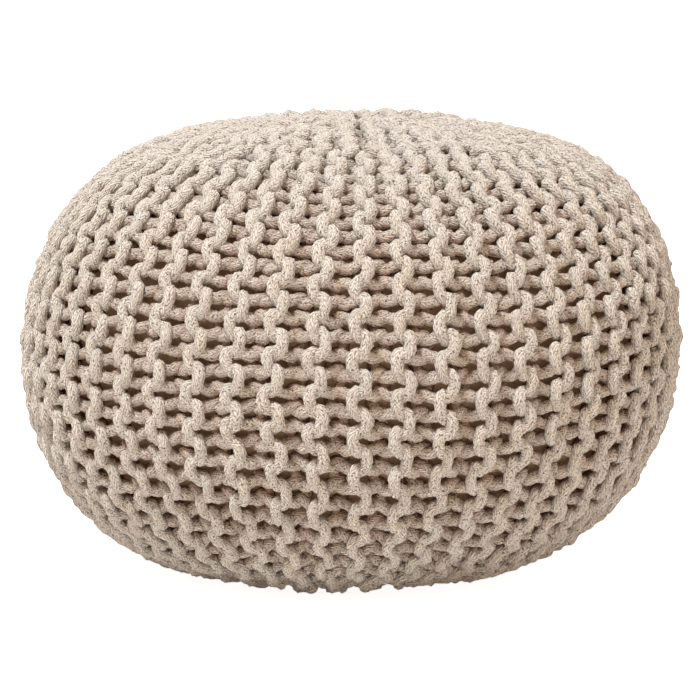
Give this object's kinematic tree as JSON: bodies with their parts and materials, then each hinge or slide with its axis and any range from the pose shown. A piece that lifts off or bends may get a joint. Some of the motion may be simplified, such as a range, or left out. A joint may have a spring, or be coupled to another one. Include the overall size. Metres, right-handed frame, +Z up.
{
  "type": "knitted pouf",
  "caption": "Round filled floor pouf with a chunky hand-knitted cotton cord cover, its raised ridges gathered at the top, for sitting on or resting feet.",
  "frame": {"origin": "centre of the flat base, on the floor under the middle of the pouf", "axes": "+Z up from the base to the gathered crown; the front of the pouf faces -Y"},
  "size_m": [0.4999, 0.4994, 0.3406],
  "materials": {
    "cotton_cord": "matte undyed cotton cord, beige with small dark flecks"
  },
  "bodies": {
    "root": {"knitted_pouf": "cotton_cord"}
  },
  "joints": []
}
